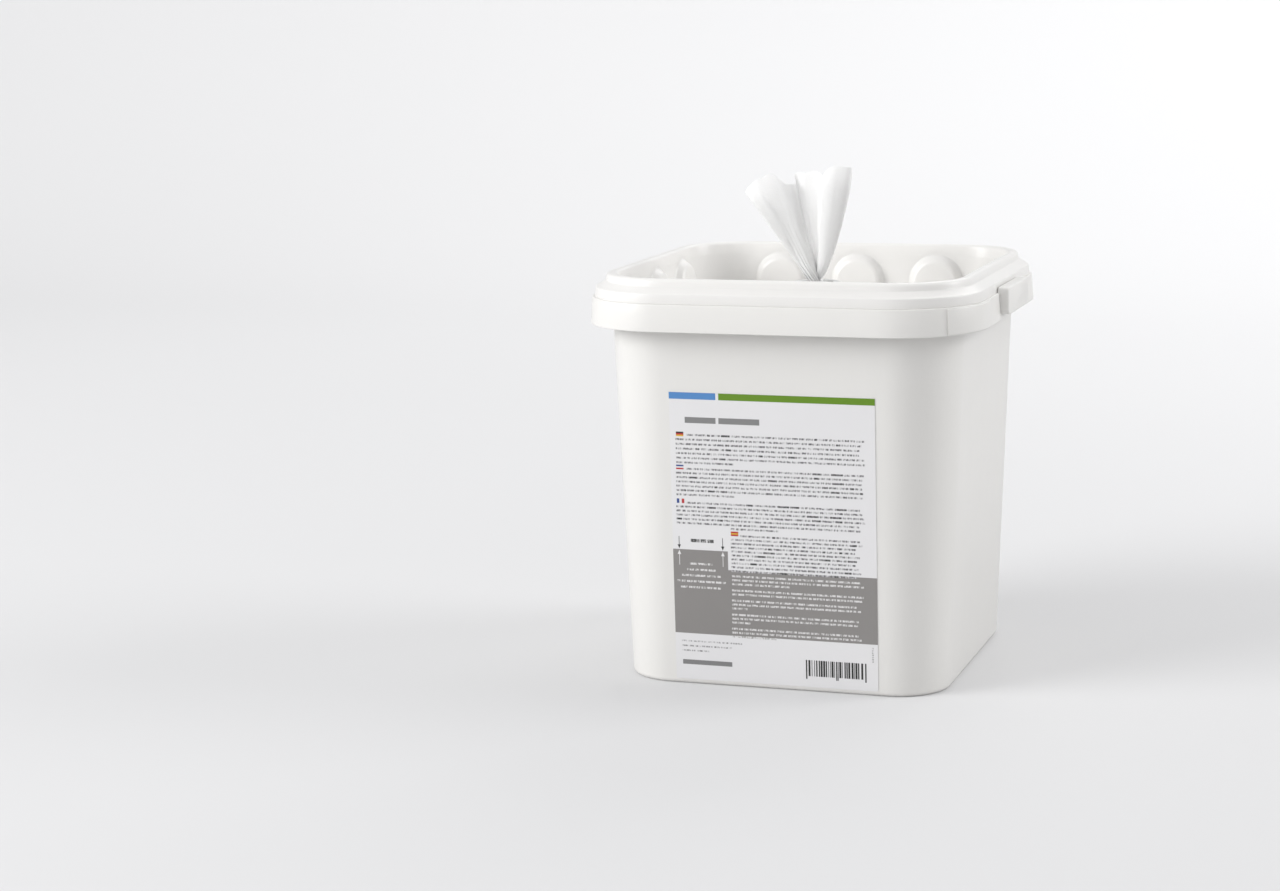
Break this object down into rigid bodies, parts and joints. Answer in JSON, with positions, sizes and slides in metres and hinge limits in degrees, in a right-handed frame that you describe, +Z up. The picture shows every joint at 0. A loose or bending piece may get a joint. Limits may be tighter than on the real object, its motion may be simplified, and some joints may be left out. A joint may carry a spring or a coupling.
{
  "type": "wipes canister",
  "caption": "Square tapered plastic bucket for a roll of wipes, with a recessed lift-off lid and a raised port that a gathered wipe is pulled through.",
  "frame": {"origin": "middle of the foot, on the surface that the bucket stands on", "axes": "+Z up, the label's side faces -Y, and the two ears stand on the -X and +X sides"},
  "size_m": [0.211, 0.2032, 0.256],
  "materials": {
    "bucket_plastic": "moulded white polypropylene, satin gloss",
    "lid_plastic": "moulded white polypropylene, satin gloss",
    "insert_rubber": "soft white elastomer, satin",
    "label_film": "printed self-adhesive film, satin",
    "roll_cloth": "white nonwoven wipe cloth, wound",
    "wipe_cloth": "white nonwoven wipe cloth, gathered"
  },
  "bodies": {
    "base": {"bucket": "bucket_plastic", "label": "label_film", "wipes_roll": "roll_cloth"},
    "lid": {"lid": "lid_plastic", "dispensing_insert": "insert_rubber", "pulled_wipe": "wipe_cloth"}
  },
  "joints": [
    {"name": "lid_lift", "type": "slide", "parent": "base", "child": "lid", "axis": [0, 0, 1], "range_m": [0, 0.08]}
  ]
}
